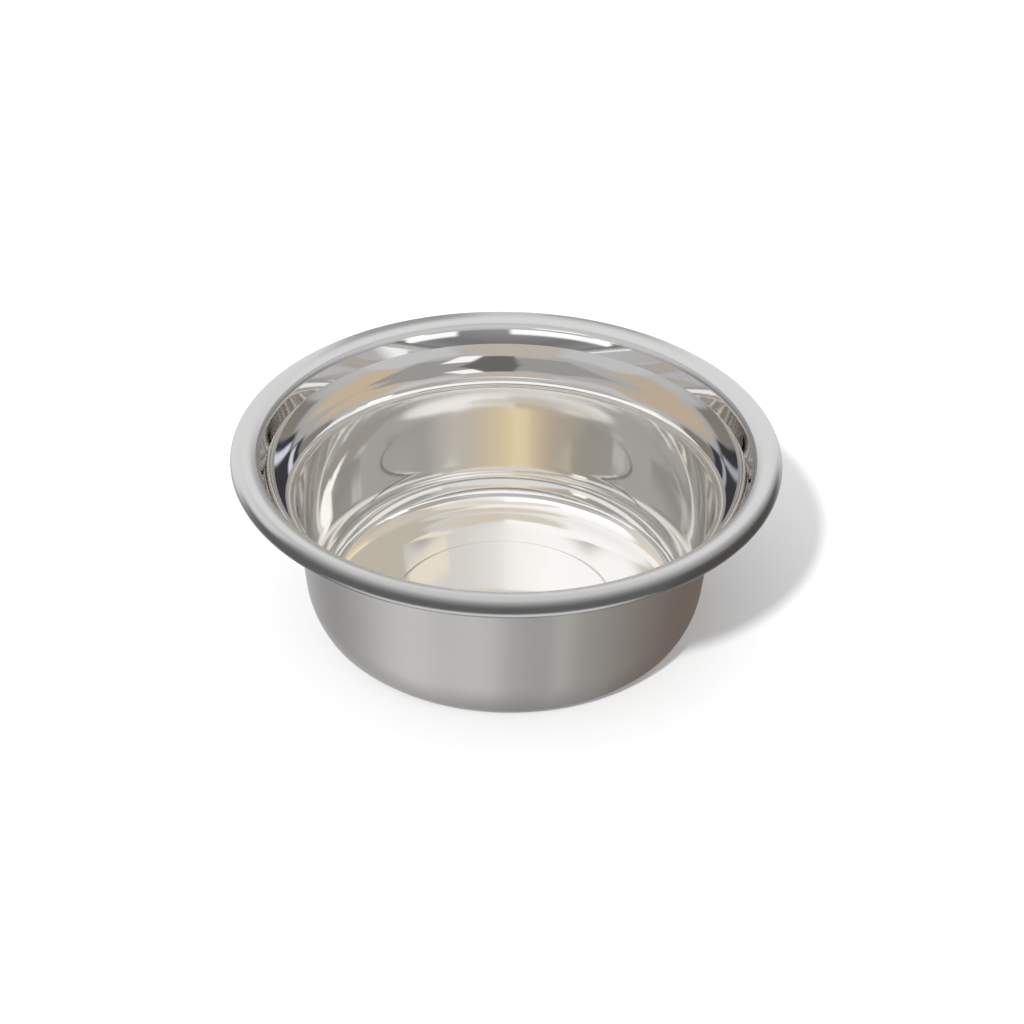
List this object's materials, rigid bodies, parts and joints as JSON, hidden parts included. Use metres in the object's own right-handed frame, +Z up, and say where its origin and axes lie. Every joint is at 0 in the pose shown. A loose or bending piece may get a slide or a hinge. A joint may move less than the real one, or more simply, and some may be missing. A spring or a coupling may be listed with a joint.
{
  "type": "feeding bowl",
  "caption": "Round stainless steel pet feeding bowl with a stepped collar, a hollow rolled rim and a pressed circle in its flat floor.",
  "frame": {"origin": "on the bowl's axis, in the plane that it stands on", "axes": "+Z up along the bowl's axis of revolution, X and Y level"},
  "size_m": [0.186, 0.186, 0.067],
  "materials": {
    "polished_steel": "mirror polished with fine round polishing marks",
    "rim_steel": "polished and slightly softer than the inside",
    "satin_steel": "satin, with fine marks that run round the wall"
  },
  "bodies": {
    "root": {"bowl_body": "polished_steel", "rolled_rim": "rim_steel"}
  },
  "joints": []
}
